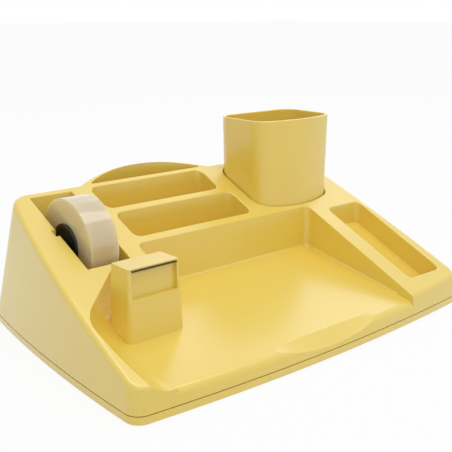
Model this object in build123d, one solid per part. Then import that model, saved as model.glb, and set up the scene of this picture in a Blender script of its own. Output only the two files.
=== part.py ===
from build123d import *
from math import cos, radians, sin, sqrt, tan
import os

os.makedirs("parts", exist_ok=True)

# Desk organizer with a tape dispenser.  Millimetres, +Z up.
# X runs across the desk, and the front faces -Y.  The origin is on the desk
# top, under the middle of the base.  Depths are given back from the front.

# ---- overall form -------------------------------------------------------
WIDTH = 370.0            # across the widest part of the base
DEPTH = 261.0            # front bow to back bow of the base
DECK_FRONT = 22.6        # height at which the deck plane meets the front
DECK_SLOPE = 0.45        # rise of the deck for each mm towards the back
TOP_LEVEL = DECK_FRONT + DECK_SLOPE * DEPTH - 10.0   # upper construction outline
WALL = 2.6               # moulded wall
SEAM_GAP = 0.8           # shadow line between the housing and the base
SKY = TOP_LEVEL + 30.0   # a level above every pocket mouth
HALF = WIDTH / 2

# ---- base outline and upper outline, as half widths and depths ----------
FRONT_BOW = 9.5          # how far the front edge bows forward
SIDE_LEAN = 5.0          # how far the side walls lean in up to TOP_LEVEL
FRONT_LEAN = 11.5        # how far the front wall leans back up to TOP_LEVEL
WAIST_NARROWER = 5.0     # half width lost from the widest part to the waist
REAR_NARROWER = 20.0     # half width lost from the widest part to the rear
WAIST_AT = DEPTH / 2     # depth of the waist of each side wall
BACK_BOW = 5.0           # how far the back edge of the base bows out
BACK_RAKE = 47.0         # how far the back wall leans in up to TOP_LEVEL
FRONT_CORNER_R = 12.0
REAR_CORNER_R = 18.0
RIM_R = 4.0              # rounding of the deck edge

# ---- arched letter rail at the back -------------------------------------
ARCH_X = -25.0           # middle of the arch
ARCH_HALF = 72.0         # half its width
ARCH_BULGE = 23.5        # how far it stands behind the straight back wall
SLOT_FRONT = DEPTH - 49.0   # front face of the letter slot
SLOT_HALF = 60.0         # half the width of the letter slot
SLOT_DEEP = 52.0         # depth of its floor below the deck

# ---- tape well ----------------------------------------------------------
WELL_X = -HALF + 56.5    # middle of the tape well
WELL_WIDE = 39.0
WELL_D = (DEPTH - 142.0, DEPTH - 54.0)
AXLE_DEEP = 13.0         # depth of the axle below the deck

# ---- pencil cup's place -------------------------------------------------
CUP_X = HALF - 83.0
CUP_WIDE = 98.0
CUP_D = (DEPTH - 123.5, DEPTH - 53.5)

# ---- rear trays ---------------------------------------------------------
TRAY_R = 7.0             # corner radius of the trays
TRAY_DRAFT = 2.0
TRAY_FLOOR_R = 3.0
TRAY_LEFT = WELL_X + 37.5
TRAY_RIGHT = CUP_X - 69.0
CLIP_TRAY_X = (TRAY_LEFT, TRAY_RIGHT)
CLIP_TRAY_D = (DEPTH - 82.0, DEPTH - 53.0)
CLIP_TRAY_DEEP = 35.0    # depth of its floor below its front edge
PIN_TRAY_X = (TRAY_LEFT + 2.0, TRAY_RIGHT + 7.0)
PIN_TRAY_D = (DEPTH - 120.0, DEPTH - 89.0)
PIN_TRAY_DEEP = 30.0

# ---- side tray ----------------------------------------------------------
SIDE_TRAY_X = (HALF - 61.0, HALF - 14.0)
SIDE_TRAY_D = (22.0, DEPTH - 136.0)
SIDE_TRAY_DEEP = 21.0    # depth of its floor below the deck
SIDE_TRAY_FLOOR = 11.5   # lowest level of that floor

# ---- memo tray ----------------------------------------------------------
MEMO_RIGHT = HALF - 79.0
MEMO_LEFT = WELL_X + 34.5
MEMO_BACK = DEPTH - 128.0
MEMO_FLOOR_FRONT = 18.6  # level of the memo floor at the front
MEMO_FLOOR_SLOPE = 0.185
MEMO_EDGE = -HALF + 8.0  # inner face of the left rim beside the memo floor
MEMO_SHOULDER = DEPTH - 143.5   # where the recess meets the tape well
MEMO_SHOULDER_X = WELL_X + 2.5
MEMO_RIM_D = DEPTH - 185.0   # where the recess meets the left rim
MEMO_OVERLAP = 40.0      # how far the two bays of the recess overlap
MEMO_CORNER_R = 6.0
MEMO_FLOOR_R = 2.0
MEMO_BEND_R = 27.0       # bends of the recess edge round the cutter
MEMO_SWEEP_R = 24.0      # wide hollow between the memo floor and the rim
OPEN_FRONT = -30.0       # the recess is cut clear past the front wall
RIM_SOLID = 3.0          # walls' thickness of material left in the narrow rim
LIP_R = 7.0              # roll-over at the front of the memo floor
LIP_FROM = -HALF + 36.0  # left end of that roll-over
SCOOP_HALF = 66.0        # finger scoop in the front lip
SCOOP_DROP = 9.5
SCOOP_DEEP = 12.5

# ---- axle and roll ------------------------------------------------------
AXLE_R = 3.0
AXLE_FIT = 0.08          # running fit between the hub and its axle
SEAT_FIT = 0.3           # play of the axle in its two grooves
SEAT_DEEP = 3.4          # how far the grooves run into the side walls
SEAT_WALL = 2.0
ROLL_R = 38.5
TAPE_WIDE = 25.0
CORE_R = 15.5
CORE_WALL = 2.6
HUB_FLANGE_R = 26.0
HUB_FLANGE_T = 1.6
HUB_BARREL_T = 1.8
HUB_BOSS_R = 5.2
HUB_SPOKES = 6
HUB_SIDE_GAP = 2.2       # gap from each end of the hub boss to the well wall
PART_FIT = 0.15          # clearance between the hub and the core

# ---- cutter tower and blade ---------------------------------------------
TOWER_X = WELL_X + 6.0
TOWER_WIDE = 45.0
TOWER_D = (DEPTH - 192.0, DEPTH - 169.0)
TOWER_RISE = 28.0        # height of its top above the deck plane
TOWER_DRAFT = 3.0
TOWER_R = 1.5
NICHE_SIDE = 2.2         # wall left beside the niche in the tower's face
NICHE_HIGH = 21.0
NICHE_DEEP = 2.6
BLADE_T = 0.8
BLADE_DEEP = 9.0
BLADE_OVERHANG = 2.2
BLADE_COVER = 1.2        # plastic left above the blade
BLADE_FIT = 0.1
TOOTH_PITCH = 2.0
TOOTH_DEEP = 1.2

# ---- pencil cup ---------------------------------------------------------
CUP_BOW = 9.0            # how far the cup's front face bows out
CUP_R = 17.0
CUP_HIGH = 104.2
CUP_SUNK = 38.2          # depth of the socket's floor below the deck
CUP_WALL = 2.4
CUP_DRAFT = 1.0
CUP_FIT = 0.9            # clearance round the cup in its socket
CUP_RIM_R = 1.0
CUP_BASE_R = 2.0
MOUTH_R = 1.2            # rounding of every pocket mouth

# ---- base, screws, feet and ballast -------------------------------------
FOOT_STAND = 1.2         # how far the feet lift the base off the desk
BASE_TOP = 7.4           # level of the top of the base rim
BASE_FLOOR = 2.4
TONGUE_HIGH = 1.8        # locating tongue inside the housing wall
TONGUE_T = 1.6
TONGUE_FIT = 0.9         # clears the raked back wall
BOSS_R = 4.2
BOSS_DRAFT = 0.5
POST_R = 5.0             # posts of the base that meet the bosses
SCREW_R = 1.6
SCREW_HEAD_R = 3.1
SCREW_HEAD_T = 1.8
SCREW_LONG = 12.0
SCREW_FIT = 0.05         # the thread is drawn as a plain close hole
HEAD_FIT = 0.4
CROSS_LONG = 3.6         # cross recess of each screw
CROSS_WIDE = 0.8
CROSS_DEEP = 0.9
SCREW_SPOTS = [(-HALF + 27, 32), (-60, 32), (60, 32), (HALF - 70, 30),
               (-HALF + 41, DEPTH - 39), (-66, DEPTH - 39), (44, DEPTH - 33),
               (HALF - 22, DEPTH - 111)]
FOOT_R = 8.0
FOOT_T = 2.4
FOOT_FIT = 0.2
FOOT_PAD = 2.0           # width and height of the pad inside, over each foot
FOOT_SPOTS = {"front_left": (-HALF + 35, 52), "front_right": (HALF - 35, 52),
              "rear_left": (-HALF + 59, DEPTH - 35), "rear_right": (HALF - 59, DEPTH - 35)}
BALLAST_X = (WELL_X - 21.5, WELL_X + 30.5)
BALLAST_D = (WELL_D[0] + 7.0, WELL_D[1] - 1.0)
BALLAST_T = 12.0
BALLAST_R = 3.0
BALLAST_POST_R = 4.0
BALLAST_POST_D = (BALLAST_D[0] + 14.0, BALLAST_D[1] - 14.0)
BALLAST_FENCE = 1.8
BALLAST_FENCE_HIGH = 6.0
WASHER_HEAD_R = 6.5
REST_GAP = 0.3           # between pieces that lift away from each other

HOUSING_FOOT = BASE_TOP + SEAM_GAP
AXLE_D = (WELL_D[0] + WELL_D[1]) / 2
WELL_R = (WELL_D[1] - WELL_D[0]) / 2


def back(depth):
    """Y of a point that lies this far behind the front of the base."""
    return depth - DEPTH / 2


def deck_level(depth):
    return DECK_FRONT + DECK_SLOPE * depth


def memo_level(depth):
    return MEMO_FLOOR_FRONT + MEMO_FLOOR_SLOPE * depth


# ---- levels that follow the deck ----------------------------------------
AXLE_Z = deck_level(AXLE_D) - AXLE_DEEP
CUP_FLOOR = deck_level(sum(CUP_D) / 2) - CUP_SUNK
CUP_TOP = CUP_FLOOR + REST_GAP + CUP_HIGH
CLIP_TRAY_FLOOR = deck_level(CLIP_TRAY_D[0]) - CLIP_TRAY_DEEP
PIN_TRAY_FLOOR = deck_level(PIN_TRAY_D[0]) - PIN_TRAY_DEEP
SLOT_FLOOR = deck_level(SLOT_FRONT) - SLOT_DEEP
TOWER_TOP = deck_level(sum(TOWER_D) / 2) + TOWER_RISE
BLADE_LEVEL = TOWER_TOP - BLADE_COVER - BLADE_T


def plan_outline(z, front, corner, waist, rear, shoulder, arch, inset=0.0):
    """Plan face at level z: bowed front, swelling sides, arched back."""
    cx, cy = corner[0] - inset, back(corner[1] + inset)
    wx, wy = waist[0] - inset, back(waist[1])
    rx, ry = rear[0] - inset, back(rear[1] - inset)
    sy = back(shoulder - inset)
    half = ARCH_HALF - inset / 2
    with BuildSketch(Plane.XY.offset(z)) as plan:
        with BuildLine():
            ThreePointArc((-cx, cy), (0, back(front + inset)), (cx, cy))
            ThreePointArc((cx, cy), (wx, wy), (rx, ry))
            Line((rx, ry), (ARCH_X + half, sy))
            ThreePointArc((ARCH_X + half, sy), (ARCH_X, back(arch - inset)), (ARCH_X - half, sy))
            Line((ARCH_X - half, sy), (-rx, ry))
            ThreePointArc((-rx, ry), (-wx, wy), (-cx, cy))
        make_face()
    return plan.sketch


def foot_outline(z, inset=0.0):
    """Outline of the base and of the housing's lower edge."""
    return plan_outline(
        z,
        front=0.0,
        corner=(HALF - 1.5, FRONT_BOW),
        waist=(HALF - WAIST_NARROWER, WAIST_AT),
        rear=(HALF - REAR_NARROWER, DEPTH - BACK_BOW),
        shoulder=DEPTH - BACK_BOW / 2,
        arch=DEPTH,
        inset=inset,
    )


def crown_outline(z, inset=0.0):
    """Upper construction outline, above the highest part of the deck."""
    straight_back = DEPTH - BACK_BOW - BACK_RAKE
    return plan_outline(
        z,
        front=FRONT_LEAN,
        corner=(HALF - 1.5 - SIDE_LEAN, FRONT_BOW + FRONT_LEAN),
        waist=(HALF - WAIST_NARROWER - SIDE_LEAN, WAIST_AT - BACK_RAKE / 3),
        rear=(HALF - REAR_NARROWER - SIDE_LEAN / 2, straight_back),
        shoulder=straight_back,
        arch=straight_back + ARCH_BULGE,
        inset=inset,
    )


def profile_prism(points):
    """A prism across the whole width, from a side profile of (depth, z)."""
    with BuildSketch(Plane.YZ) as side:
        with BuildLine():
            Polyline([(back(d), z) for d, z in points], close=True)
        make_face()
    return extrude(side.sketch, amount=WIDTH, both=True)


def below_deck(drop=0.0):
    ends = (-40.0, DEPTH + 40.0)
    line = [(d, deck_level(d) - drop) for d in ends]
    return profile_prism([(ends[0], -20), line[0], line[1], (ends[1], -20)])


def above_memo_floor(drop=0.0):
    ends = (-40.0, DEPTH)
    line = [(d, memo_level(d) - drop) for d in ends]
    return profile_prism([line[0], line[1], (ends[1], SKY), (ends[0], SKY)])


def upright_edges(shape, corner_points, reach):
    """Edges that stand near the given plan corners."""
    found = ShapeList()
    for edge in shape.edges():
        if abs(edge.tangent_at(0.5).Z) < 0.6:
            continue
        middle = edge.position_at(0.5)
        if any((middle - Vector(x, y, middle.Z)).length < reach for x, y in corner_points):
            found.append(edge)
    return found


def housing_body(inset=0.0, drop=0.0):
    """The closed form of the housing under the deck plane."""
    form = loft(
        [foot_outline(HOUSING_FOOT, inset), crown_outline(TOP_LEVEL, inset)],
        ruled=True,
    )
    front = [(s * (HALF - 6), back(FRONT_BOW + 4)) for s in (-1, 1)]
    rear = [(s * (HALF - REAR_NARROWER - 5), back(DEPTH - BACK_BOW - BACK_RAKE / 2))
            for s in (-1, 1)]
    form = fillet(upright_edges(form, front, 16), FRONT_CORNER_R - inset)
    form = fillet(upright_edges(form, rear, 20), REAR_CORNER_R - inset)
    return form & below_deck(drop)


def round_deck_edge(form):
    """Rounds the edge between the deck and the outer walls."""
    deck = form.faces().sort_by(Axis.Z)[-1]
    return fillet(deck.edges(), RIM_R)


def box_between(xs, depths, zs):
    size = (xs[1] - xs[0], depths[1] - depths[0], zs[1] - zs[0])
    middle = ((xs[0] + xs[1]) / 2, back((depths[0] + depths[1]) / 2), (zs[0] + zs[1]) / 2)
    return Pos(*middle) * Box(*size)


def tray_space(xs, depths, floor, grow=0.0):
    """Space of a drafted tray; grow gives the outside of its walls."""
    width = xs[1] - xs[0] + 2 * grow
    length = depths[1] - depths[0] + 2 * grow
    middle = ((xs[0] + xs[1]) / 2, back((depths[0] + depths[1]) / 2))
    mouth = deck_level(depths[0])
    with BuildPart() as space:
        with BuildSketch(Plane.XY.offset(mouth)):
            with Locations(middle):
                RectangleRounded(width, length, TRAY_R + grow)
        extrude(amount=SKY - mouth)
        extrude(space.faces().sort_by(Axis.Z)[0], amount=mouth - floor + grow,
                dir=(0, 0, -1), taper=TRAY_DRAFT)
        if not grow:
            fillet(space.edges().group_by(Axis.Z)[0], TRAY_FLOOR_R)
    return space.part


def side_tray_space(grow=0.0):
    """The side tray, whose floor follows the deck down to a level front."""
    low = SIDE_TRAY_FLOOR - grow
    flat_to = (SIDE_TRAY_FLOOR + SIDE_TRAY_DEEP - DECK_FRONT) / DECK_SLOPE
    over = 30.0
    floor = [(SIDE_TRAY_D[0] - over, low), (flat_to, low),
             (SIDE_TRAY_D[1] + over, deck_level(SIDE_TRAY_D[1] + over) - SIDE_TRAY_DEEP - grow)]
    above = profile_prism(floor + [(SIDE_TRAY_D[1] + over, SKY), (SIDE_TRAY_D[0] - over, SKY)])
    width = SIDE_TRAY_X[1] - SIDE_TRAY_X[0] + 2 * grow
    length = SIDE_TRAY_D[1] - SIDE_TRAY_D[0] + 2 * grow
    middle = (sum(SIDE_TRAY_X) / 2, back(sum(SIDE_TRAY_D) / 2))
    with BuildPart() as space:
        with BuildSketch(Plane.XY.offset(SKY)):
            with Locations(middle):
                RectangleRounded(width, length, TRAY_R + grow)
        extrude(amount=-SKY, taper=TRAY_DRAFT / 4)
    return space.part & above


def slot_space(grow=0.0):
    """The letter slot between the thin wall and the arched rail."""
    straight = DEPTH - BACK_BOW - BACK_RAKE
    crown = straight + ARCH_BULGE
    radius = (ARCH_HALF**2 + ARCH_BULGE**2) / (2 * ARCH_BULGE)
    centre = crown - radius
    reach = radius - WALL + grow
    half = SLOT_HALF + grow
    front = SLOT_FRONT - grow
    ends = centre + sqrt(reach**2 - half**2)
    with BuildSketch(Plane.XY.offset(SLOT_FLOOR - grow)) as plan:
        with BuildLine():
            Polyline([(ARCH_X - half, back(ends)), (ARCH_X - half, back(front)),
                      (ARCH_X + half, back(front)), (ARCH_X + half, back(ends))])
            ThreePointArc((ARCH_X + half, back(ends)), (ARCH_X, back(centre + reach)),
                          (ARCH_X - half, back(ends)))
        make_face()
    return extrude(plan.sketch, amount=SKY - SLOT_FLOOR)


def cup_outline(z, grow=0.0):
    """D-shaped plan of the pencil cup, with a bowed front."""
    left, right = CUP_X - CUP_WIDE / 2 - grow, CUP_X + CUP_WIDE / 2 + grow
    front, rear = CUP_D[0] - grow, CUP_D[1] + grow
    with BuildSketch(Plane.XY.offset(z)) as plan:
        with BuildLine():
            ThreePointArc((left, back(front + CUP_BOW)), (CUP_X, back(front)),
                          (right, back(front + CUP_BOW)))
            Line((right, back(front + CUP_BOW)), (right, back(rear)))
            Line((right, back(rear)), (left, back(rear)))
            Line((left, back(rear)), (left, back(front + CUP_BOW)))
        make_face()
        fillet(plan.vertices(), CUP_R + grow)
    return plan.sketch


def cup_solid(floor, top, grow=0.0):
    """A drafted cup form whose size is measured at the cup's top."""
    narrow = (CUP_TOP - top) * tan(radians(CUP_DRAFT))
    return extrude(cup_outline(top, grow - narrow), amount=top - floor,
                   dir=(0, 0, -1), taper=CUP_DRAFT)


def socket_space(grow=0.0):
    """The pocket that holds the pencil cup."""
    mouth = deck_level(CUP_D[1])
    low = cup_solid(CUP_FLOOR - grow, mouth, CUP_FIT + grow)
    narrow = (CUP_TOP - mouth) * tan(radians(CUP_DRAFT))
    return low + extrude(cup_outline(mouth, CUP_FIT + grow - narrow), amount=SKY - mouth)


def well_space(grow=0.0):
    """The tape well: straight walls over a round trough about the axle."""
    radius = WELL_R + grow
    with BuildSketch(Plane.YZ) as side:
        with Locations((back(AXLE_D), AXLE_Z)):
            Circle(radius)
        with Locations((back(AXLE_D), (AXLE_Z + SKY) / 2)):
            Rectangle(2 * radius, SKY - AXLE_Z)
    return Pos(WELL_X, 0, 0) * extrude(side.sketch, amount=WELL_WIDE / 2 + grow, both=True)


def axle_grooves(grow=0.0):
    """Open grooves in both well walls, down to the resting axle."""
    radius = AXLE_R + SEAT_FIT + grow
    with BuildSketch(Plane.YZ) as side:
        with Locations((back(AXLE_D), AXLE_Z)):
            Circle(radius)
        with Locations((back(AXLE_D), (AXLE_Z + SKY) / 2)):
            Rectangle(2 * radius, SKY - AXLE_Z)
    reach = WELL_WIDE / 2 + SEAT_DEEP + grow
    return Pos(WELL_X, 0, 0) * extrude(side.sketch, amount=reach, both=True)


def recess_block(corners, rounded, floor_drop=0.0):
    """Space above the memo floor inside a plan given by (x, depth) corners."""
    points = [(x, back(depth)) for x, depth in corners]
    with BuildSketch() as plan:
        with BuildLine():
            Polyline(points, close=True)
        make_face()
        for (x, depth), radius in rounded:
            corner = plan.vertices().sort_by_distance((x, back(depth), 0))[0]
            fillet(corner, radius)
    return extrude(plan.sketch, amount=SKY) & above_memo_floor(floor_drop)


def paper_bay(grow=0.0):
    """Square part of the memo recess, where the note pad lies."""
    left, right = MEMO_LEFT - grow, MEMO_RIGHT + grow
    rear = MEMO_BACK + grow
    radius = MEMO_CORNER_R + grow
    return recess_block(
        [(left, OPEN_FRONT), (left, rear), (right, rear), (right, OPEN_FRONT)],
        [((left, rear), radius), ((right, rear), radius)],
        grow,
    )


def side_bay(grow=0.0):
    """Part of the memo recess beside the note pad, round the cutter."""
    left, right = MEMO_EDGE - RIM_SOLID * grow, MEMO_LEFT + MEMO_OVERLAP
    rear = MEMO_SHOULDER + grow
    rim = (left, MEMO_RIM_D + grow / 2)
    shoulder = (MEMO_SHOULDER_X - grow / 2, rear)
    return recess_block(
        [(left, OPEN_FRONT), rim, shoulder, (right, rear), (right, OPEN_FRONT)],
        [(rim, MEMO_BEND_R + grow), (shoulder, MEMO_BEND_R + grow)],
        grow,
    )


def memo_space():
    """Memo recess with a wide hollow along its left rim."""
    bay = side_bay()
    floor = bay.faces().sort_by(Axis.Z)[0]
    swept = [e for e in floor.edges()
             if e.position_at(0.5).Y > back(OPEN_FRONT) + 5
             and e.position_at(0.5).X < MEMO_LEFT + MEMO_OVERLAP - 2]
    bay = fillet(swept, MEMO_SWEEP_R)
    pad = paper_bay()
    floor = pad.faces().sort_by(Axis.Z)[0]
    rim = [e for e in floor.edges() if e.position_at(0.5).Y > back(OPEN_FRONT) + 5]
    pad = fillet(rim, MEMO_FLOOR_R)
    return bay + pad


def memo_shell():
    return side_bay(WALL) + paper_bay(WALL)


def scoop_space(grow=0.0):
    """Finger scoop: an arc in the front face that dies out on the floor."""
    level = memo_level(SCOOP_DEEP)
    reach = 6.0
    drop = SCOOP_DROP * (SCOOP_DEEP + reach) / SCOOP_DEEP
    half = SCOOP_HALF + grow

    def section(depth, low):
        plane = Plane(origin=(0, back(depth), level), x_dir=(1, 0, 0), z_dir=(0, -1, 0))
        with BuildSketch(plane) as face:
            with BuildLine():
                ThreePointArc((-half, 0.2), (0, -low), (half, 0.2))
                Polyline([(half, 0.2), (half, 20), (-half, 20), (-half, 0.2)])
            make_face()
        return face.sketch

    return loft([section(SCOOP_DEEP + grow, grow + 0.05), section(-reach, drop + grow)],
                ruled=True)


def tower_form(shrink=0.0, top=TOWER_TOP):
    """The drafted pillar that carries the cutter."""
    width = TOWER_WIDE - 2 * shrink
    length = TOWER_D[1] - TOWER_D[0] - 2 * shrink
    with BuildPart() as tower:
        with BuildSketch(Plane.XY.offset(top)):
            with Locations((TOWER_X, back(sum(TOWER_D) / 2))):
                RectangleRounded(width, length, TOWER_R)
        extrude(amount=HOUSING_FOOT - top, taper=-TOWER_DRAFT)
    return tower.part


def blade_seat():
    """Slot that holds the blade, and the niche below its teeth."""
    half = TOWER_WIDE / 2 - NICHE_SIDE
    xs = (TOWER_X - half, TOWER_X + half)
    front = TOWER_D[0] - 8
    slot_end = TOWER_D[0] + BLADE_DEEP - BLADE_OVERHANG + BLADE_FIT
    slot = box_between(xs, (front, slot_end),
                       (BLADE_LEVEL - BLADE_FIT, BLADE_LEVEL + BLADE_T + BLADE_FIT))
    niche = box_between(xs, (front, TOWER_D[0] + NICHE_DEEP),
                        (BLADE_LEVEL - NICHE_HIGH, BLADE_LEVEL))
    return slot + niche


def standing(radius, x, depth, low, height, taper=0.0):
    """An upright round post; taper narrows it upwards."""
    with BuildPart() as post:
        with BuildSketch(Plane.XY.offset(low)):
            with Locations((x, back(depth))):
                Circle(radius)
        extrude(amount=height, taper=taper)
    return post.part


def screw_boss(x, depth):
    return standing(BOSS_R, x, depth, HOUSING_FOOT, SKY, -BOSS_DRAFT)


def stiffening_ribs():
    """Thin ribs across the hollow underside of the housing."""
    rib = 1.8
    ribs = []
    for x in (-60.0, 0.0, 60.0):
        ribs.append(box_between((x - rib / 2, x + rib / 2), (6, 226), (HOUSING_FOOT + 6, SKY)))
    for depth in (60.0, 100.0):
        ribs.append(box_between((-150, 150), (depth - rib / 2, depth + rib / 2),
                                (HOUSING_FOOT + 6, SKY)))
    return ribs


def pockets():
    """Everything that is sunk into the deck from above."""
    return [
        tray_space(CLIP_TRAY_X, CLIP_TRAY_D, CLIP_TRAY_FLOOR),
        tray_space(PIN_TRAY_X, PIN_TRAY_D, PIN_TRAY_FLOOR),
        side_tray_space(),
        slot_space(),
        socket_space(),
        well_space(),
        axle_grooves(),
    ]


def pocket_walls():
    """The same pockets, grown by their wall thickness."""
    return [
        tray_space(CLIP_TRAY_X, CLIP_TRAY_D, CLIP_TRAY_FLOOR, WALL),
        tray_space(PIN_TRAY_X, PIN_TRAY_D, PIN_TRAY_FLOOR, WALL),
        side_tray_space(WALL),
        slot_space(WALL),
        socket_space(WALL),
        well_space(WALL),
        axle_grooves(SEAT_WALL),
        memo_shell(),
        scoop_space(WALL),
    ]


def round_pocket_mouths(body):
    """Rounds the edges of the pockets in the deck, and of the memo recess."""
    slope = Vector(0, -DECK_SLOPE, 1).normalized()
    decks = [f for f in body.faces() if (f.normal_at() - slope).length < 0.001]
    deck = max(decks, key=lambda f: f.area)
    mouths = ShapeList()
    for wire in deck.inner_wires():
        mouths += wire.edges()
    return fillet(mouths, MOUTH_R)


def round_front_lip(body):
    """Rolls the memo floor over into the front wall, beside the note pad."""
    slab = housing_body() - above_memo_floor()
    top = slab.faces().sort_by(lambda f: f.normal_at().Z)[-1]
    lip = top.edges().sort_by(lambda e: e.position_at(0.5).Y)[0]
    slab = fillet([lip], LIP_R)
    strip = box_between((LIP_FROM, MEMO_RIGHT), (-5, 3 * LIP_R), (0, SKY))
    return body - strip + (slab & strip)


def top_housing():
    body = round_deck_edge(housing_body()) - memo_space()
    body = round_front_lip(body)
    for space in pockets():
        body -= space
    body = round_pocket_mouths(body)
    body -= scoop_space()
    body += tower_form()
    body -= blade_seat()
    hollow = housing_body(WALL, WALL)
    for kept in pocket_walls():
        hollow -= kept
    for x, depth in SCREW_SPOTS:
        hollow -= screw_boss(x, depth)
    for rib in stiffening_ribs():
        hollow -= rib
    body -= hollow
    tower_wall = WALL + NICHE_DEEP
    tower_cover = BLADE_COVER + BLADE_T + WALL
    body -= tower_form(tower_wall, TOWER_TOP - tower_cover) & above_memo_floor(2 * WALL)
    for x, depth in SCREW_SPOTS:
        body -= standing(SCREW_R + SCREW_FIT, x, depth, HOUSING_FOOT, SCREW_LONG)
    return body


# ---- base ---------------------------------------------------------------
def rounded_foot(z, inset=0.0):
    """Outline of the base with its corners rounded like the housing's."""
    plan = foot_outline(z, inset)
    front = [v for v in plan.vertices() if v.Y < back(FRONT_BOW + 10)]
    plan = fillet(front, FRONT_CORNER_R - inset)
    rear = [v for v in plan.vertices()
            if v.Y > back(DEPTH - 20) and abs(v.X - ARCH_X) > ARCH_HALF + 15]
    return fillet(rear, REAR_CORNER_R - inset)


def base_plate():
    """Shallow tray that closes the underside, with a locating tongue."""
    inside = WALL + TONGUE_FIT + TONGUE_T
    floor = FOOT_STAND + BASE_FLOOR
    plate = extrude(rounded_foot(FOOT_STAND), amount=BASE_TOP - FOOT_STAND)
    plate = chamfer(plate.faces().sort_by(Axis.Z)[0].edges(), 0.6)
    plate -= extrude(rounded_foot(floor, inside), amount=BASE_TOP - floor)
    tongue_high = HOUSING_FOOT + TONGUE_HIGH - floor
    plate += extrude(rounded_foot(floor, WALL + TONGUE_FIT) - rounded_foot(floor, inside),
                     amount=tongue_high)
    for x, depth in SCREW_SPOTS:
        plate += standing(POST_R, x, depth, floor - 1, HOUSING_FOOT - floor + 1)
    for x, depth in FOOT_SPOTS.values():
        plate += standing(FOOT_R + FOOT_PAD, x, depth, floor - 1, 1 + FOOT_T - FOOT_STAND)
    for x, depth in SCREW_SPOTS:
        plate -= standing(SCREW_R + HEAD_FIT / 2, x, depth, 0, HOUSING_FOOT + 1)
        plate -= standing(SCREW_HEAD_R + HEAD_FIT, x, depth, 0, floor)
    for x, depth in FOOT_SPOTS.values():
        plate -= standing(FOOT_R + FOOT_FIT, x, depth, 0, FOOT_T)
    plate_low = floor - 1
    fence = box_between(*grown_ballast(REST_GAP + BALLAST_FENCE),
                        (plate_low, floor + BALLAST_FENCE_HIGH))
    fence -= box_between(*grown_ballast(REST_GAP), (0, SKY))
    plate += fence
    for depth in BALLAST_POST_D:
        plate += standing(BALLAST_POST_R, ballast_middle(), depth, plate_low,
                          BALLAST_T + 1 - REST_GAP)
        plate -= standing(SCREW_R + SCREW_FIT, ballast_middle(), depth,
                          floor - REST_GAP, SCREW_LONG + 1)
    return plate


def ballast_middle():
    return (BALLAST_X[0] + BALLAST_X[1]) / 2


def grown_ballast(grow):
    """X and depth ranges of the ballast plate with a margin all round."""
    return ((BALLAST_X[0] - grow, BALLAST_X[1] + grow),
            (BALLAST_D[0] - grow, BALLAST_D[1] + grow))


def ballast_plate():
    """Steel weight under the tape well, so that tape tears off one-handed."""
    low = FOOT_STAND + BASE_FLOOR
    block = box_between(*grown_ballast(0.0), (low, low + BALLAST_T))
    block = fillet(block.edges().filter_by(Axis.Z), BALLAST_R)
    block = chamfer(block.faces().sort_by(Axis.Z)[-1].edges(), 0.8)
    for depth in BALLAST_POST_D:
        block -= standing(BALLAST_POST_R + HEAD_FIT, ballast_middle(), depth, 0, SKY)
    return block


def screw(head_r, flip=1):
    """Pan-head screw with its seat at the origin; flip -1 points it down."""
    head = Pos(0, 0, -SCREW_HEAD_T) * Cylinder(
        head_r, SCREW_HEAD_T, align=(Align.CENTER, Align.CENTER, Align.MIN))
    head = chamfer(head.faces().sort_by(Axis.Z)[0].edges(), 0.6)
    shank = Cylinder(SCREW_R, SCREW_LONG, align=(Align.CENTER, Align.CENTER, Align.MIN))
    cross = Box(CROSS_LONG, CROSS_WIDE, 2 * CROSS_DEEP) + Box(CROSS_WIDE, CROSS_LONG, 2 * CROSS_DEEP)
    whole = head + shank - Pos(0, 0, -SCREW_HEAD_T) * cross
    return whole if flip > 0 else Rot(180, 0, 0) * whole


def housing_screws():
    seat = FOOT_STAND + BASE_FLOOR
    return [Pos(x, back(depth), seat) * screw(SCREW_HEAD_R) for x, depth in SCREW_SPOTS]


def ballast_screws():
    seat = FOOT_STAND + BASE_FLOOR + BALLAST_T
    return [Pos(ballast_middle(), back(depth), seat) * screw(WASHER_HEAD_R, -1)
            for depth in BALLAST_POST_D]


def rubber_foot(x, depth):
    foot = standing(FOOT_R, x, depth, 0, FOOT_T)
    return chamfer(foot.faces().sort_by(Axis.Z)[0].edges(), 0.5)


# ---- pencil cup ---------------------------------------------------------
def pencil_cup():
    floor = CUP_FLOOR + REST_GAP
    cup = cup_solid(floor, CUP_TOP)
    cup = fillet(cup.faces().sort_by(Axis.Z)[0].edges(), CUP_BASE_R)
    cup -= cup_solid(floor + CUP_WALL, CUP_TOP, -CUP_WALL)
    return fillet(cup.faces().sort_by(Axis.Z)[-1].edges(), CUP_RIM_R)


# ---- tape, hub, axle and blade ------------------------------------------
def across(radius, x_from, x_to):
    """A round bar along X, on the line of the axle."""
    bar = Cylinder(radius, x_to - x_from, rotation=(0, 90, 0),
                   align=(Align.CENTER, Align.CENTER, Align.MIN))
    return Pos(x_from, back(AXLE_D), AXLE_Z) * bar


def hub_axle():
    reach = WELL_WIDE / 2 + SEAT_DEEP - REST_GAP
    rod = across(AXLE_R, WELL_X - reach, WELL_X + reach)
    return chamfer(rod.faces().filter_by(Axis.X).edges(), 0.5)


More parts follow.
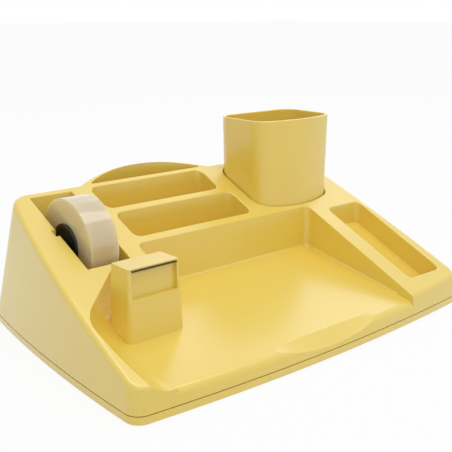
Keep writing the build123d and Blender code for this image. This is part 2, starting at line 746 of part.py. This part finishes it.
def tape_hub():
    """Moulded hub: boss, webbed barrel and one wide flange."""
    barrel_r = CORE_R - CORE_WALL - PART_FIT
    left, right = WELL_X - TAPE_WIDE / 2, WELL_X + TAPE_WIDE / 2
    boss_half = WELL_WIDE / 2 - HUB_SIDE_GAP
    barrel = across(barrel_r, left - HUB_FLANGE_T, right + 1.0)
    barrel = chamfer(barrel.faces().sort_by(Axis.X)[-1].edges(), 0.8)
    hub = barrel - across(barrel_r - HUB_BARREL_T, left - HUB_FLANGE_T, right + 1.0)
    flange = across(HUB_FLANGE_R, left - HUB_FLANGE_T, left)
    flange = chamfer(flange.faces().sort_by(Axis.X)[0].edges(), 0.6)
    hub += flange - across(barrel_r - HUB_BARREL_T, left - HUB_FLANGE_T, left)
    web = across(barrel_r - 0.5, WELL_X - 1.0, WELL_X + 1.0)
    hub += web
    for k in range(HUB_SPOKES):
        turn = Pos(0, back(AXLE_D), AXLE_Z) * Rot(360 / HUB_SPOKES * k, 0, 0)
        hub += turn * Pos(WELL_X, 0, barrel_r / 2) * Box(TAPE_WIDE, 1.4, barrel_r - 0.5)
    hub += across(HUB_BOSS_R, WELL_X - boss_half, WELL_X + boss_half)
    return hub - across(AXLE_R + AXLE_FIT, WELL_X - WELL_WIDE, WELL_X + WELL_WIDE)


def tape_core():
    left, right = WELL_X - TAPE_WIDE / 2, WELL_X + TAPE_WIDE / 2
    return across(CORE_R, left, right) - across(CORE_R - CORE_WALL, left, right)


def tape_roll():
    left, right = WELL_X - TAPE_WIDE / 2, WELL_X + TAPE_WIDE / 2
    roll = across(ROLL_R, left, right)
    roll = chamfer(roll.faces().filter_by(Axis.X).edges(), 0.3)
    return roll - across(CORE_R + SCREW_FIT, left, right)


def cutter_blade():
    """Toothed steel strip, held in the slot at the tower's top."""
    half = TOWER_WIDE / 2 - NICHE_SIDE - BLADE_FIT
    front = back(TOWER_D[0] - BLADE_OVERHANG)
    rear = front + BLADE_DEEP
    count = int(2 * half / TOOTH_PITCH)
    pitch = 2 * half / count
    edge = [(-half, front + TOOTH_DEEP)]
    for k in range(count):
        edge.append((-half + (k + 0.5) * pitch, front))
        edge.append((-half + (k + 1) * pitch, front + TOOTH_DEEP))
    outline = [(TOWER_X + x, y) for x, y in edge + [(half, rear), (-half, rear)]]
    with BuildSketch(Plane.XY.offset(BLADE_LEVEL)) as strip:
        with BuildLine():
            Polyline(outline, close=True)
        make_face()
    return extrude(strip.sketch, amount=BLADE_T)


def save(name, shape):
    export_step(shape, f"parts/{name}.step")


save("top_housing", top_housing())
save("base_plate", base_plate())
save("pencil_cup", pencil_cup())
save("hub_axle", hub_axle())
save("tape_hub", tape_hub())
save("tape_core", tape_core())
save("tape_roll", tape_roll())
save("cutter_blade", cutter_blade())
save("housing_screws", Compound(children=housing_screws()))
save("ballast_plate", ballast_plate())
save("ballast_screws", Compound(children=ballast_screws()))
for corner, (foot_x, foot_depth) in FOOT_SPOTS.items():
    save(f"foot_{corner}", rubber_foot(foot_x, foot_depth))
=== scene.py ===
"""Dresses the desk organizer in its finishes and lights it like a product picture."""

from __future__ import annotations

import logging
from dataclasses import dataclass, field
from enum import Enum
from math import radians

import bpy
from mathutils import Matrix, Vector

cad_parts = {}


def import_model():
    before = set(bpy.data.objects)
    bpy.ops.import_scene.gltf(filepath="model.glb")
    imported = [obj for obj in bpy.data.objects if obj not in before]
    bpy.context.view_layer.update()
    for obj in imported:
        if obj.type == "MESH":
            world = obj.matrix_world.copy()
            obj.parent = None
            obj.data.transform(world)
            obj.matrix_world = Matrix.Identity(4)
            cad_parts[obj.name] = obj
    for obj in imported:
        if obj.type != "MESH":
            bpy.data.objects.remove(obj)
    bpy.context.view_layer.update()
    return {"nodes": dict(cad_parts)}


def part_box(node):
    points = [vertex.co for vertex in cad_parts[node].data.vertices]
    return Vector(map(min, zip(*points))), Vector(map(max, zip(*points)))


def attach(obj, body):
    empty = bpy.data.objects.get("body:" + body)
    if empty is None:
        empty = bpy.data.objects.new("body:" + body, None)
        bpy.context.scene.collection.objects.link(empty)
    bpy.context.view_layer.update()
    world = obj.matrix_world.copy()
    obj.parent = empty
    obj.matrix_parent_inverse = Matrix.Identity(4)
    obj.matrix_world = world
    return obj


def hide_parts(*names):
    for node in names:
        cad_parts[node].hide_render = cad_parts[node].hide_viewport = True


LOG = logging.getLogger("organizer")
MM = 0.001
Colour = tuple[float, float, float, float]
Triple = tuple[float, float, float]
WHITE: Colour = (1.0, 1.0, 1.0, 1.0)
MIX_FIRST, MIX_SECOND, MIX_RESULT = 6, 7, 2   # colour sockets of a Mix node
NOISE_SPAN = (0.3, 0.7)                       # most of a noise texture's values lie in here
GRAIN_SCALE, GRAIN_DETAIL = 2400.0, 2.0
CLOUD_SCALE, CLOUD_DETAIL = 12.0, 3.0
FACES_ALONG_X = 0.9                           # share of a face's normal along the axle

# The sRGB curve: a straight foot up to SRGB_FOOT, then a power.
SRGB_FOOT, SRGB_SLOPE, SRGB_SHIFT, SRGB_POWER = 0.04045, 12.92, 0.055, 2.4


class Slot(Enum):
    """Material slots of the record that a finish belongs to."""

    YELLOW = "yellow_plastic"
    BLACK = "black_plastic"
    CORE = "core_plastic"
    TAPE = "tape"
    AXLE = "axle_steel"
    BLADE = "blade_steel"
    SCREW = "screw_steel"
    WEIGHT = "weight_steel"
    RUBBER = "foot_rubber"


Nodes = dict[str, bpy.types.Object]
Materials = dict[Slot, bpy.types.Material]


def srgb(red: int, green: int, blue: int) -> Colour:
    """Turns an 8-bit picture colour into the linear colour that shaders take."""

    def linear(level: int) -> float:
        """Returns one channel in linear light."""
        value = level / 255
        if value <= SRGB_FOOT:
            return value / SRGB_SLOPE
        return ((value + SRGB_SHIFT) / (1 + SRGB_SHIFT)) ** SRGB_POWER

    return (linear(red), linear(green), linear(blue), 1.0)


def shaded(colour: Colour, factor: float) -> Colour:
    """Returns the colour made darker by the factor."""
    return (*[channel * factor for channel in colour[:3]], 1.0)


# ---- shader effects and finishes ----------------------------------------
def new_group(name: str, inputs: dict[str, float], outputs: dict[str, str]) -> bpy.types.NodeTree:
    """Starts a shader node group.

    Args:
        name: Name of the group.
        inputs: Number inputs and their usual values.
        outputs: Output names and their socket types.

    Returns:
        The group, with its sockets and its two ends in place.
    """
    group = bpy.data.node_groups.new(name, "ShaderNodeTree")
    for title, value in inputs.items():
        socket = group.interface.new_socket(title, in_out="INPUT", socket_type="NodeSocketFloat")
        socket.default_value = value
    for title, kind in outputs.items():
        group.interface.new_socket(title, in_out="OUTPUT", socket_type=kind)
    group.nodes.new("NodeGroupInput").name = "in"
    group.nodes.new("NodeGroupOutput").name = "out"
    return group


def fine_grain_group() -> bpy.types.NodeTree:
    """Builds the effect of fine moulded grain: a height and a small gloss change.

    Returns:
        The node group, with Scale and Cloudiness inputs.
    """
    group = new_group(
        "fine grain",
        {"Scale": GRAIN_SCALE, "Cloudiness": CLOUD_SCALE},
        {"Height": "NodeSocketFloat", "Clouds": "NodeSocketFloat"},
    )
    nodes, links = group.nodes, group.links
    where = nodes.new("ShaderNodeTexCoord")
    grain = nodes.new("ShaderNodeTexNoise")
    grain.inputs["Detail"].default_value = GRAIN_DETAIL
    clouds = nodes.new("ShaderNodeTexNoise")
    clouds.inputs["Detail"].default_value = CLOUD_DETAIL
    links.new(where.outputs["Object"], grain.inputs["Vector"])
    links.new(where.outputs["Object"], clouds.inputs["Vector"])
    links.new(nodes["in"].outputs["Scale"], grain.inputs["Scale"])
    links.new(nodes["in"].outputs["Cloudiness"], clouds.inputs["Scale"])
    links.new(grain.outputs["Fac"], nodes["out"].inputs["Height"])
    links.new(clouds.outputs["Fac"], nodes["out"].inputs["Clouds"])
    return group


def place_group(tree: bpy.types.NodeTree, group: bpy.types.NodeTree, **values: float) -> bpy.types.Node:
    """Places a node group in a material.

    Args:
        tree: Node tree of the material.
        group: Group to place.
        **values: Values of its inputs.

    Returns:
        The group node.
    """
    node = tree.nodes.new("ShaderNodeGroup")
    node.node_tree = group
    for title, value in values.items():
        node.inputs[title].default_value = value
    return node


def ranged(
    tree: bpy.types.NodeTree, source: bpy.types.NodeSocket, low: float, high: float
) -> bpy.types.NodeSocket:
    """Maps the usual span of a noise value onto low to high.

    Args:
        tree: Node tree of the material.
        source: Socket with the noise value.
        low: Value given at the low end of the span.
        high: Value given at its high end.

    Returns:
        The socket with the mapped value.
    """
    node = tree.nodes.new("ShaderNodeMapRange")
    node.inputs["From Min"].default_value = NOISE_SPAN[0]
    node.inputs["From Max"].default_value = NOISE_SPAN[1]
    node.inputs["To Min"].default_value = low
    node.inputs["To Max"].default_value = high
    tree.links.new(source, node.inputs["Value"])
    return node.outputs["Result"]


@dataclass(frozen=True)
class Finish:
    """A plain moulded, turned or pressed surface.

    Args:
        name: Name of the material.
        colour: Base colour.
        rough: Lowest and highest roughness over the clouds.
        tone: How much the clouds darken the colour.
        metal: True for bare metal.
        grain: Height of the fine grain in millimetres.
        coat: Weight of the glossy skin.
        coat_rough: Roughness of that skin.
        grain_scale: Fineness of the grain.
        relief: How strongly the grain shows.
        shine: Specular level of the surface under the skin.
    """

    name: str
    colour: Colour
    rough: tuple[float, float] = (0.36, 0.44)
    tone: float = 0.03
    metal: bool = False
    grain: float = 0.02
    coat: float = 0.0
    coat_rough: float = 0.22
    grain_scale: float = GRAIN_SCALE
    relief: float = 0.35
    shine: float = 0.5

    def build(self, grain_group: bpy.types.NodeTree) -> bpy.types.Material:
        """Makes the material.

        Args:
            grain_group: Shared fine-grain effect.

        Returns:
            The finished material.
        """
        material = bpy.data.materials.new(self.name)
        material.use_nodes = True
        tree = material.node_tree
        shader = tree.nodes["Principled BSDF"]
        effect = place_group(tree, grain_group, Scale=self.grain_scale)
        mix = tree.nodes.new("ShaderNodeMix")
        mix.data_type = "RGBA"
        mix.inputs[MIX_FIRST].default_value = self.colour
        mix.inputs[MIX_SECOND].default_value = shaded(self.colour, 1.0 - self.tone)
        tree.links.new(ranged(tree, effect.outputs["Clouds"], 0.0, 1.0), mix.inputs[0])
        tree.links.new(mix.outputs[MIX_RESULT], shader.inputs["Base Color"])
        tree.links.new(ranged(tree, effect.outputs["Clouds"], *self.rough), shader.inputs["Roughness"])
        bump = tree.nodes.new("ShaderNodeBump")
        bump.inputs["Strength"].default_value = self.relief
        bump.inputs["Distance"].default_value = self.grain * MM
        tree.links.new(effect.outputs["Height"], bump.inputs["Height"])
        tree.links.new(bump.outputs["Normal"], shader.inputs["Normal"])
        shader.inputs["Metallic"].default_value = 1.0 if self.metal else 0.0
        shader.inputs["Coat Weight"].default_value = self.coat
        shader.inputs["Coat Roughness"].default_value = self.coat_rough
        shader.inputs["Specular IOR Level"].default_value = self.shine
        return material


FINISHES: dict[Slot, Finish] = {
    Slot.YELLOW: Finish("warm yellow plastic", srgb(242, 212, 88), coat=0.9, shine=0.8),
    Slot.BLACK: Finish("black plastic", srgb(22, 20, 20), rough=(0.35, 0.45)),
    Slot.CORE: Finish("core plastic", srgb(226, 220, 205), rough=(0.45, 0.55)),
    Slot.AXLE: Finish("axle steel", srgb(190, 190, 188), rough=(0.25, 0.35), metal=True),
    Slot.BLADE: Finish("blade steel", srgb(82, 74, 56), rough=(0.26, 0.36), metal=True),
    Slot.SCREW: Finish("screw steel", srgb(170, 170, 172), rough=(0.28, 0.4), metal=True),
    Slot.WEIGHT: Finish("weight steel", srgb(110, 108, 106), rough=(0.5, 0.65), metal=True),
    Slot.RUBBER: Finish("foot rubber", srgb(30, 30, 31), rough=(0.7, 0.85), tone=0.1),
}


@dataclass(frozen=True)
class TapeFinish:
    """Clear film wound many times: milky and glossy, with light inside it.

    Args:
        name: Name of the material.
        colour: Colour of the wound film.
        rings: Rings per metre of radius that show on the sides.
        ring_detail: Detail of the rings.
        ring_tone: Darkening of the darkest rings.
        ring_high: Height of the rings in millimetres.
        relief: How strongly that height shows.
        rough: Roughness of the film.
        coat: Weight of the glossy skin.
        coat_rough: Roughness of that skin.
        scatter: Weight of the light that travels inside the film.
        scatter_reach: How far red, green and blue light travel, in metres.
    """

    name: str = "wound film"
    colour: Colour = srgb(226, 210, 172)
    rings: float = 900.0
    ring_detail: float = 2.0
    ring_tone: float = 0.14
    ring_high: float = 0.05
    relief: float = 0.3
    rough: float = 0.16
    coat: float = 1.0
    coat_rough: float = 0.06
    scatter: float = 0.7
    scatter_reach: Triple = (0.014, 0.012, 0.008)

    def build(self, axle: Vector) -> bpy.types.Material:
        """Makes the material.

        Args:
            axle: A point on the line that the film is wound round.

        Returns:
            The finished material.
        """
        material = bpy.data.materials.new(self.name)
        material.use_nodes = True
        tree = material.node_tree
        shader = tree.nodes["Principled BSDF"]
        where = tree.nodes.new("ShaderNodeTexCoord")
        centred = tree.nodes.new("ShaderNodeVectorMath")
        centred.operation = "SUBTRACT"
        centred.inputs[1].default_value = axle
        flat = tree.nodes.new("ShaderNodeVectorMath")
        flat.operation = "MULTIPLY"
        flat.inputs[1].default_value = (0.0, 1.0, 1.0)   # leaves out the way along the axle
        radius = tree.nodes.new("ShaderNodeVectorMath")
        radius.operation = "LENGTH"
        tree.links.new(where.outputs["Object"], centred.inputs[0])
        tree.links.new(centred.outputs[0], flat.inputs[0])
        tree.links.new(flat.outputs[0], radius.inputs[0])
        rings = tree.nodes.new("ShaderNodeTexNoise")
        rings.noise_dimensions = "1D"
        rings.inputs["Scale"].default_value = self.rings
        rings.inputs["Detail"].default_value = self.ring_detail
        tree.links.new(radius.outputs["Value"], rings.inputs["W"])
        mix = tree.nodes.new("ShaderNodeMix")
        mix.data_type = "RGBA"
        mix.inputs[MIX_FIRST].default_value = self.colour
        mix.inputs[MIX_SECOND].default_value = shaded(self.colour, 1.0 - self.ring_tone)
        tree.links.new(ranged(tree, rings.outputs["Fac"], 0.0, 1.0), mix.inputs[0])
        tree.links.new(mix.outputs[MIX_RESULT], shader.inputs["Base Color"])
        bump = tree.nodes.new("ShaderNodeBump")
        bump.inputs["Strength"].default_value = self.relief
        bump.inputs["Distance"].default_value = self.ring_high * MM
        tree.links.new(rings.outputs["Fac"], bump.inputs["Height"])
        tree.links.new(bump.outputs["Normal"], shader.inputs["Normal"])
        shader.inputs["Roughness"].default_value = self.rough
        shader.inputs["Coat Weight"].default_value = self.coat
        shader.inputs["Coat Roughness"].default_value = self.coat_rough
        shader.inputs["Subsurface Weight"].default_value = self.scatter
        shader.inputs["Subsurface Scale"].default_value = 1.0
        shader.inputs["Subsurface Radius"].default_value = self.scatter_reach
        return material


# ---- the object's sub-assemblies ----------------------------------------
@dataclass
class SubAssembly:
    """Pieces that belong together, with the finish of each.

    Args:
        title: Name used in the log.
        parts: Slot of each CAD node of the sub-assembly.
    """

    title: str
    parts: dict[str, Slot] = field(default_factory=dict)

    def dress(self, nodes: Nodes, finishes: Materials) -> None:
        """Gives every CAD node of the sub-assembly its finish.

        Args:
            nodes: CAD nodes by name.
            finishes: Material of each slot.
        """
        for name, slot in self.parts.items():
            piece = nodes[name]
            piece.data.materials.clear()
            piece.data.materials.append(finishes[slot])
            LOG.info("%s: %s in %s", self.title, name, slot.value)


@dataclass
class Body(SubAssembly):
    """Housing, base, cutter, screws, feet and ballast."""

    title: str = "body"
    parts: dict[str, Slot] = field(
        default_factory=lambda: {
            "top_housing": Slot.YELLOW,
            "base_plate": Slot.YELLOW,
            "cutter_blade": Slot.BLADE,
            "housing_screws": Slot.SCREW,
            "ballast_plate": Slot.WEIGHT,
            "ballast_screws": Slot.SCREW,
            "foot_front_left": Slot.RUBBER,
            "foot_front_right": Slot.RUBBER,
            "foot_rear_left": Slot.RUBBER,
            "foot_rear_right": Slot.RUBBER,
        }
    )


@dataclass
class PencilCup(SubAssembly):
    """The cup that lifts out of its socket."""

    title: str = "pencil cup"
    parts: dict[str, Slot] = field(default_factory=lambda: {"pencil_cup": Slot.YELLOW})


def select_only(*objects: bpy.types.Object) -> None:
    """Selects these objects alone and makes the first one active."""
    bpy.ops.object.select_all(action="DESELECT")
    for item in objects:
        item.select_set(True)
    bpy.context.view_layer.objects.active = objects[0]


def settle(piece: bpy.types.Object) -> None:
    """Moves the object's place, turn and size into its mesh."""
    select_only(piece)
    bpy.ops.object.transform_apply(location=True, rotation=True, scale=True)


@dataclass
class TapeReel(SubAssembly):
    """Axle, core, wound film, and the black hub with its narrow flange.

    Args:
        flange_radius: Outer radius of the flange, in millimetres like the rest.
        flange_thick: Thickness of the flange.
        barrel_radius: Outer radius of the barrel inside the core.
        barrel_wall: Wall meant for the barrel; half of it sets the flange's overlap.
        barrel_over: How far the barrel stands out at its right end.
        web_thick: Thickness of the disc inside the barrel.
        boss_radius: Radius of the boss round the axle.
        spoke_thick: Thickness of a spoke.
        spoke_inset: How far the spokes stay behind the barrel's ends.
        spoke_pairs: Number of bars that cross the barrel.
        edge: Rounding of the moulded edges.
        edge_steps: Steps of that rounding.
        facets: Sides of every round form.
        smooth_below: Angle in degrees under which an edge is shaded smooth.
    """

    title: str = "tape reel"
    parts: dict[str, Slot] = field(
        default_factory=lambda: {
            "hub_axle": Slot.AXLE,
            "tape_core": Slot.CORE,
            "tape_roll": Slot.TAPE,
        }
    )
    flange_radius: float = 18.4
    flange_thick: float = 1.6
    barrel_radius: float = 12.7
    barrel_wall: float = 1.8
    barrel_over: float = 1.0
    web_thick: float = 2.0
    boss_radius: float = 5.2
    spoke_thick: float = 1.4
    spoke_inset: float = 2.0
    spoke_pairs: int = 3
    edge: float = 0.3
    edge_steps: int = 2
    facets: int = 96
    smooth_below: float = 35.0

    def lying_cylinder(self, radius: float, start: float, end: float) -> bpy.types.Object:
        """Adds a cylinder that lies on the line of the axle.

        Args:
            radius: Radius in millimetres.
            start: Its left end, in metres.
            end: Its right end, in metres.

        Returns:
            The cylinder, with its turn in its mesh.
        """
        axis = reel_axis()
        bpy.ops.object.select_all(action="DESELECT")
        bpy.ops.mesh.primitive_cylinder_add(
            vertices=self.facets,
            radius=radius * MM,
            depth=end - start,
            location=((start + end) / 2, axis.y, axis.z),
            rotation=(0.0, radians(90.0), 0.0),
        )
        cylinder = bpy.context.object
        settle(cylinder)
        return cylinder

    def inset_ends(self, piece: bpy.types.Object, wall: float) -> None:
        """Insets both flat ends and leaves the inner ends selected in edit mode.

        Args:
            piece: Cylinder that lies along X.
            wall: Width of the ring that stays, in millimetres.
        """
        select_only(piece)
        for face in piece.data.polygons:
            face.select = abs(face.normal.x) > FACES_ALONG_X
        bpy.ops.object.mode_set(mode="EDIT")
        bpy.ops.mesh.select_mode(type="FACE")
        bpy.ops.mesh.inset(thickness=wall * MM)

    def barrel(self, left: float, right: float) -> bpy.types.Object:
        """Makes the barrel, meant as a tube with a disc across its middle.

        It comes out solid, with the disc as a loose shell inside it. Edit mode still
        selects by vertex on this first piece, so inset_ends takes every face.

        Args:
            left: Its left end, in metres.
            right: Its right end, in metres.

        Returns:
            The barrel.
        """
        tube = self.lying_cylinder(self.barrel_radius, left, right)
        self.inset_ends(tube, self.barrel_wall)
        axis = reel_axis()
        bpy.ops.mesh.extrude_region_move()
        bpy.ops.transform.resize(
            value=(self.web_thick * MM / (right - left), 1.0, 1.0),
            center_override=((left + right) / 2, axis.y, axis.z),
        )
        bpy.ops.object.mode_set(mode="OBJECT")
        return tube

    def flange(self, left: float, right: float) -> bpy.types.Object:
        """Makes the flange: a flat ring round the barrel's left end.

        Args:
            left: Its outer face, in metres.
            right: Its inner face, in metres.

        Returns:
            The flange.
        """
        ring = self.lying_cylinder(self.flange_radius, left, right)
        self.inset_ends(ring, self.flange_radius - self.barrel_radius + self.barrel_wall / 2)
        bpy.ops.mesh.bridge_edge_loops()
        bpy.ops.object.mode_set(mode="OBJECT")
        return ring

    def bar(self, left: float, right: float, turn: float) -> bpy.types.Object:
        """Makes a bar across the barrel, for two spokes that the solid barrel hides.

        Args:
            left: Its left side, in metres.
            right: Its right side, in metres.
            turn: Its angle round the axle, in degrees.

        Returns:
            The bar.
        """
        axis = reel_axis()
        across = 2 * (self.barrel_radius - self.barrel_wall / 2) * MM
        bpy.ops.object.select_all(action="DESELECT")
        bpy.ops.mesh.primitive_cube_add(
            size=1.0,
            location=((left + right) / 2, axis.y, axis.z),
            rotation=(radians(turn), 0.0, 0.0),
        )
        bar = bpy.context.object
        bar.scale = (right - left, self.spoke_thick * MM, across)
        settle(bar)
        return bar

    def build_hub(self) -> bpy.types.Object:
        """Models the hub in place of the CAD one, whose flange is wider.

        Its shells overlap, and its boss has no bore, so the axle runs through it.

        Returns:
            The hub as one object.
        """
        film_low, film_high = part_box("tape_roll")
        hub_low, hub_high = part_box("tape_hub")
        left = film_low[0] - self.flange_thick * MM
        right = film_high[0] + self.barrel_over * MM
        inset = self.spoke_inset * MM
        pieces = [
            self.barrel(left, right),
            self.flange(left, film_low[0]),
            self.lying_cylinder(self.boss_radius, hub_low[0], hub_high[0]),
        ]
        for number in range(self.spoke_pairs):
            turn = 180.0 / self.spoke_pairs * number
            pieces.append(self.bar(left + inset, right - inset, turn))
        select_only(*pieces)
        bpy.ops.object.join()
        hub = bpy.context.object
        hub.name = "tape_hub_moulded"
        bpy.ops.object.mode_set(mode="EDIT")
        bpy.ops.mesh.select_all(action="SELECT")
        bpy.ops.mesh.normals_make_consistent(inside=False)
        bpy.ops.object.mode_set(mode="OBJECT")
        rounding = hub.modifiers.new("edges", "BEVEL")
        rounding.width = self.edge * MM
        rounding.segments = self.edge_steps
        rounding.limit_method = "ANGLE"
        bpy.ops.object.modifier_apply(modifier=rounding.name)
        bpy.ops.object.shade_smooth_by_angle(angle=radians(self.smooth_below))
        settle(hub)
        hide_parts("tape_hub")
        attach(hub, "roll")
        return hub

    def dress(self, nodes: Nodes, finishes: Materials) -> None:
        """Dresses the CAD nodes, then adds the hub.

        Args:
            nodes: CAD nodes by name.
            finishes: Material of each slot.
        """
        super().dress(nodes, finishes)
        hub = self.build_hub()
        hub.data.materials.clear()
        hub.data.materials.append(finishes[Slot.BLACK])
        LOG.info("%s: %s in %s", self.title, hub.name, Slot.BLACK.value)


# ---- studio -------------------------------------------------------------
@dataclass(frozen=True)
class Lamp:
    """A square soft lamp.

    Args:
        name: Name of the lamp.
        place: Where it stands, in metres.
        aim: Point that it shines at.
        size: Side of its square in metres.
        power: Strength in watts.
    """

    name: str
    place: Triple
    aim: Triple
    size: float
    power: float

    def build(self) -> bpy.types.Object:
        """Adds the lamp to the scene and returns it."""
        data = bpy.data.lights.new(self.name, "AREA")
        data.size = self.size
        data.energy = self.power
        lamp = bpy.data.objects.new(self.name, data)
        lamp.location = self.place
        aim = Vector(self.aim) - Vector(self.place)
        lamp.rotation_euler = aim.to_track_quat("-Z", "Y").to_euler()
        bpy.context.scene.collection.objects.link(lamp)
        return lamp


@dataclass
class Studio:
    """Floor, white surroundings, lamps and camera.

    Args:
        lamps: The soft lamps.
        surround: Light that the white surroundings throw on the object.
        floor_white: Share of plain white in the floor where it is seen.
        floor_tone: Colour of the floor that bounces light and keeps the shadow.
        floor_rough: Roughness of the floor.
        floor_size: Side of the floor in metres.
        camera_place: Where the camera stands, in metres.
        camera_tilt: Its tilt in degrees.
        camera_turn: Its turn in degrees.
        lens: Its focal length in millimetres.
        sensor: Width of its sensor in millimetres.
        nearest: Closest distance that it sees, in metres.
    """

    lamps: tuple[Lamp, ...] = (
        Lamp("overhead", place=(0.10, -0.25, 1.45), aim=(0.0, 0.0, 0.05), size=1.2, power=8.4),
        Lamp("front left", place=(-0.75, -1.2, 0.8), aim=(0.0, 0.0, 0.05), size=1.0, power=1.7),
        Lamp("sheen", place=(1.35, 0.95, 0.95), aim=(0.05, -0.06, 0.03), size=1.1, power=2.5),
    )
    surround: float = 0.55
    floor_white: float = 0.93
    floor_tone: Colour = (0.85, 0.85, 0.85, 1.0)
    floor_rough: float = 0.9
    floor_size: float = 30.0
    camera_place: Triple = (-0.44255, -0.51215, 0.26495)
    camera_tilt: float = 74.812
    camera_turn: float = -40.804
    lens: float = 63.30
    sensor: float = 36.0
    nearest: float = 0.01

    def white_when_seen(self, tree: bpy.types.NodeTree) -> bpy.types.NodeSocket:
        """Gives a value of 1 where the camera, gloss or glass sees the surface.

        Args:
            tree: Node tree of the material or world.

        Returns:
            The socket with the value.
        """
        path = tree.nodes.new("ShaderNodeLightPath")
        both = tree.nodes.new("ShaderNodeMath")
        both.operation = "MAXIMUM"
        every = tree.nodes.new("ShaderNodeMath")
        every.operation = "MAXIMUM"
        tree.links.new(path.outputs["Is Camera Ray"], both.inputs[0])
        tree.links.new(path.outputs["Is Glossy Ray"], both.inputs[1])
        tree.links.new(both.outputs[0], every.inputs[0])
        tree.links.new(path.outputs["Is Transmission Ray"], every.inputs[1])
        return every.outputs[0]

    def build_world(self) -> None:
        """Makes the surroundings: soft light, and white where they are seen."""
        world = bpy.data.worlds.new("white surround")
        bpy.context.scene.world = world
        world.use_nodes = True
        tree = world.node_tree
        back = tree.nodes["Background"]
        back.inputs["Color"].default_value = WHITE
        strength = tree.nodes.new("ShaderNodeMapRange")
        strength.inputs["To Min"].default_value = self.surround
        strength.inputs["To Max"].default_value = 1.0
        tree.links.new(self.white_when_seen(tree), strength.inputs["Value"])
        tree.links.new(strength.outputs["Result"], back.inputs["Strength"])

    def build_floor(self) -> bpy.types.Object:
        """Makes the pale floor that keeps the object's soft shadow.

        Returns:
            The floor.
        """
        bpy.ops.object.select_all(action="DESELECT")
        bpy.ops.mesh.primitive_plane_add(size=self.floor_size, location=(0.0, 0.0, 0.0))
        floor = bpy.context.object
        floor.name = "floor"
        material = bpy.data.materials.new("pale floor")
        material.use_nodes = True
        tree = material.node_tree
        shader = tree.nodes["Principled BSDF"]
        shader.inputs["Base Color"].default_value = self.floor_tone
        shader.inputs["Roughness"].default_value = self.floor_rough
        shader.inputs["Specular IOR Level"].default_value = 0.0
        glow = tree.nodes.new("ShaderNodeEmission")
        amount = tree.nodes.new("ShaderNodeMath")
        amount.operation = "MULTIPLY"
        amount.inputs[1].default_value = self.floor_white
        mix = tree.nodes.new("ShaderNodeMixShader")
        tree.links.new(self.white_when_seen(tree), amount.inputs[0])
        tree.links.new(amount.outputs[0], mix.inputs["Fac"])
        tree.links.new(shader.outputs["BSDF"], mix.inputs[1])
        tree.links.new(glow.outputs["Emission"], mix.inputs[2])
        tree.links.new(mix.outputs["Shader"], tree.nodes["Material Output"].inputs["Surface"])
        floor.data.materials.append(material)
        return floor

    def build_camera(self) -> bpy.types.Object:
        """Places the camera where the photograph was taken from and returns it."""
        data = bpy.data.cameras.new("camera")
        data.sensor_width = self.sensor
        data.lens = self.lens
        data.clip_start = self.nearest
        camera = bpy.data.objects.new("camera", data)
        camera.location = self.camera_place
        camera.rotation_euler = (radians(self.camera_tilt), 0.0, radians(self.camera_turn))
        bpy.context.scene.collection.objects.link(camera)
        bpy.context.scene.camera = camera
        return camera

    def build(self) -> None:
        """Builds the whole studio."""
        bpy.context.scene.view_settings.view_transform = "Standard"
        self.build_world()
        self.build_floor()
        for lamp in self.lamps:
            lamp.build()
        self.build_camera()


def reel_axis() -> Vector:
    """Returns the middle of the roll, which lies on the line of the axle."""
    low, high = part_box("tape_roll")
    return (Vector(low) + Vector(high)) / 2


def main() -> None:
    """Builds the classes in order."""
    logging.basicConfig(level=logging.INFO)
    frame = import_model()
    grain = fine_grain_group()
    finishes = {slot: finish.build(grain) for slot, finish in FINISHES.items()}
    finishes[Slot.TAPE] = TapeFinish().build(reel_axis())
    for assembly in (Body(), PencilCup(), TapeReel()):
        assembly.dress(frame["nodes"], finishes)
    Studio().build()


if __name__ == "__main__":
    main()
